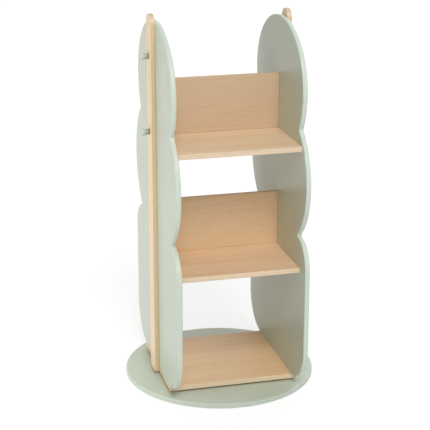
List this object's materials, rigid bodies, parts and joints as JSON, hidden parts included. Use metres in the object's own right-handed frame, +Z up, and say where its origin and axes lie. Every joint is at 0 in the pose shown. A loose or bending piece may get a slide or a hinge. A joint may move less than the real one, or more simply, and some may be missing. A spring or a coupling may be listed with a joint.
{
  "type": "revolving bookcase",
  "caption": "Floor-standing revolving bookcase: scalloped side panels, open shelves with low dividers and pegged posts, turning on a round base by a ball bearing.",
  "frame": {"origin": "centre of the round base on the floor plane, on the axis that the case turns about", "axes": "+Z up along the turning axis; +X from the left side panel to the right one; -Y is the open front in the picture"},
  "size_m": [0.4599, 0.46, 0.8939],
  "materials": {
    "sage_paint": "satin sage green paint over fibreboard, edges rounded",
    "peg_paint": "satin sage green paint over turned wood",
    "shelf_wood": "pale wood with long grain along the shelf, satin lacquer",
    "post_wood": "pale pine, clear satin lacquer",
    "dowel_wood": "raw turned wood",
    "race_metal": "turned",
    "ball_steel": "polished",
    "cage_nylon": "natural nylon",
    "screw_steel": "zinc plated",
    "cam_zinc": "cast zinc",
    "pad_rubber": "matt",
    "plug_plastic": "matt"
  },
  "bodies": {
    "stand": {"base_plate": "sage_paint", "foot_pads": "pad_rubber", "access_plug": "plug_plastic", "bearing_outer_ring": "race_metal", "bearing_base_screws": "screw_steel"},
    "ball_cage": {"bearing_cage": "cage_nylon", "bearing_balls": "ball_steel"},
    "case": {"left_panel": "sage_paint", "right_panel": "sage_paint", "left_upper_peg": "peg_paint", "left_lower_peg": "peg_paint", "right_upper_peg": "peg_paint", "right_lower_peg": "peg_paint", "bottom_shelf": "shelf_wood", "middle_shelf": "shelf_wood", "top_shelf": "shelf_wood", "middle_divider": "shelf_wood", "top_divider": "shelf_wood", "left_post": "post_wood", "right_post": "post_wood", "panel_foot_dowels": "dowel_wood", "shelf_dowels": "dowel_wood", "divider_dowels": "dowel_wood", "post_dowels": "dowel_wood", "bearing_inner_ring": "race_metal", "bearing_shelf_screws": "screw_steel", "panel_foot_screws": "screw_steel", "peg_screws": "screw_steel", "shelf_cam_bolts": "screw_steel", "shelf_cam_nuts": "cam_zinc"}
  },
  "joints": [
    {"name": "case_spin", "type": "hinge", "parent": "stand", "child": "case", "pos_m": [0, 0, 0.01475], "axis": [0, 0, 1], "continuous": true},
    {"name": "cage_spin", "type": "hinge", "parent": "stand", "child": "ball_cage", "pos_m": [0, 0, 0.01475], "axis": [0, 0, 1], "continuous": true}
  ],
  "couplings": [
    {"joint": "cage_spin", "follows": "case_spin", "ratio": 0.48889}
  ]
}
